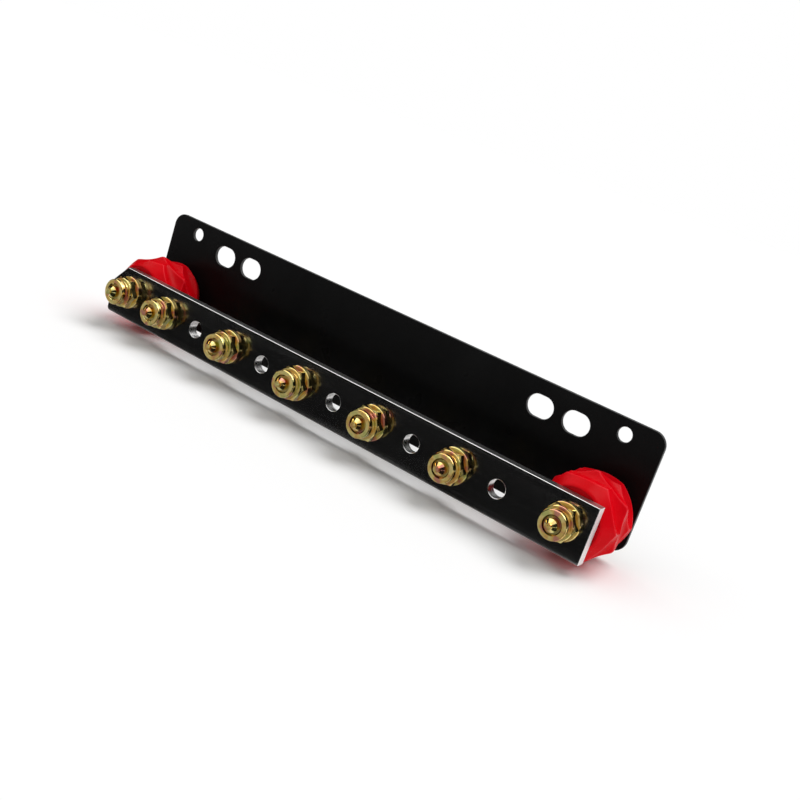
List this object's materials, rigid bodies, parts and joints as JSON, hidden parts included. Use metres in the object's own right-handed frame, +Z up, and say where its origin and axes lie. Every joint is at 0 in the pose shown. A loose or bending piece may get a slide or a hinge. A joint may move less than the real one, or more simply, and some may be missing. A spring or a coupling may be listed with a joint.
{
  "type": "grounding busbar",
  "caption": "Bright drilled earth bar with a row of bolted wire terminals, held by red drum insulators in front of a slotted black backplate.",
  "frame": {"origin": "midway between the two outer slots, on the backplate's rear face", "axes": "+X along the bar, -Y out of the front, +Z up"},
  "size_m": [0.2342, 0.0494, 0.0481],
  "materials": {
    "black_coat": "satin black coat on steel sheet",
    "bright_bar": "polished bright plating with faint brushing along the bar",
    "red_insulator": "semi-gloss moulded red",
    "insert_brass": "turned brass",
    "yellow_zinc": "yellow passivated zinc on steel, slightly iridescent"
  },
  "bodies": {
    "root": {"backplate": "black_coat", "busbar": "bright_bar", "end_left_base_washer": "yellow_zinc", "end_left_flat_washer": "yellow_zinc", "end_left_hex_nut": "yellow_zinc", "end_left_round_nut": "yellow_zinc", "end_left_spring_washer": "yellow_zinc", "end_left_stud": "yellow_zinc", "end_right_base_washer": "yellow_zinc", "end_right_flat_washer": "yellow_zinc", "end_right_hex_nut": "yellow_zinc", "end_right_round_nut": "yellow_zinc", "end_right_spring_washer": "yellow_zinc", "end_right_stud": "yellow_zinc", "insulator_left": "red_insulator", "insulator_left_front_insert": "insert_brass", "insulator_left_rear_insert": "insert_brass", "insulator_right": "red_insulator", "insulator_right_front_insert": "insert_brass", "insulator_right_rear_insert": "insert_brass", "rear_left_flat_washer": "yellow_zinc", "rear_left_screw": "yellow_zinc", "rear_left_spring_washer": "yellow_zinc", "rear_right_flat_washer": "yellow_zinc", "rear_right_screw": "yellow_zinc", "rear_right_spring_washer": "yellow_zinc", "terminal_1_base_washer": "yellow_zinc", "terminal_1_bolt": "yellow_zinc", "terminal_1_flat_washer": "yellow_zinc", "terminal_1_hex_nut": "yellow_zinc", "terminal_1_round_nut": "yellow_zinc", "terminal_1_spring_washer": "yellow_zinc", "terminal_2_base_washer": "yellow_zinc", "terminal_2_bolt": "yellow_zinc", "terminal_2_flat_washer": "yellow_zinc", "terminal_2_hex_nut": "yellow_zinc", "terminal_2_round_nut": "yellow_zinc", "terminal_2_spring_washer": "yellow_zinc", "terminal_3_base_washer": "yellow_zinc", "terminal_3_bolt": "yellow_zinc", "terminal_3_flat_washer": "yellow_zinc", "terminal_3_hex_nut": "yellow_zinc", "terminal_3_round_nut": "yellow_zinc", "terminal_3_spring_washer": "yellow_zinc", "terminal_4_base_washer": "yellow_zinc", "terminal_4_bolt": "yellow_zinc", "terminal_4_flat_washer": "yellow_zinc", "terminal_4_hex_nut": "yellow_zinc", "terminal_4_round_nut": "yellow_zinc", "terminal_4_spring_washer": "yellow_zinc", "terminal_5_base_washer": "yellow_zinc", "terminal_5_bolt": "yellow_zinc", "terminal_5_flat_washer": "yellow_zinc", "terminal_5_hex_nut": "yellow_zinc", "terminal_5_round_nut": "yellow_zinc", "terminal_5_spring_washer": "yellow_zinc"}
  },
  "joints": []
}
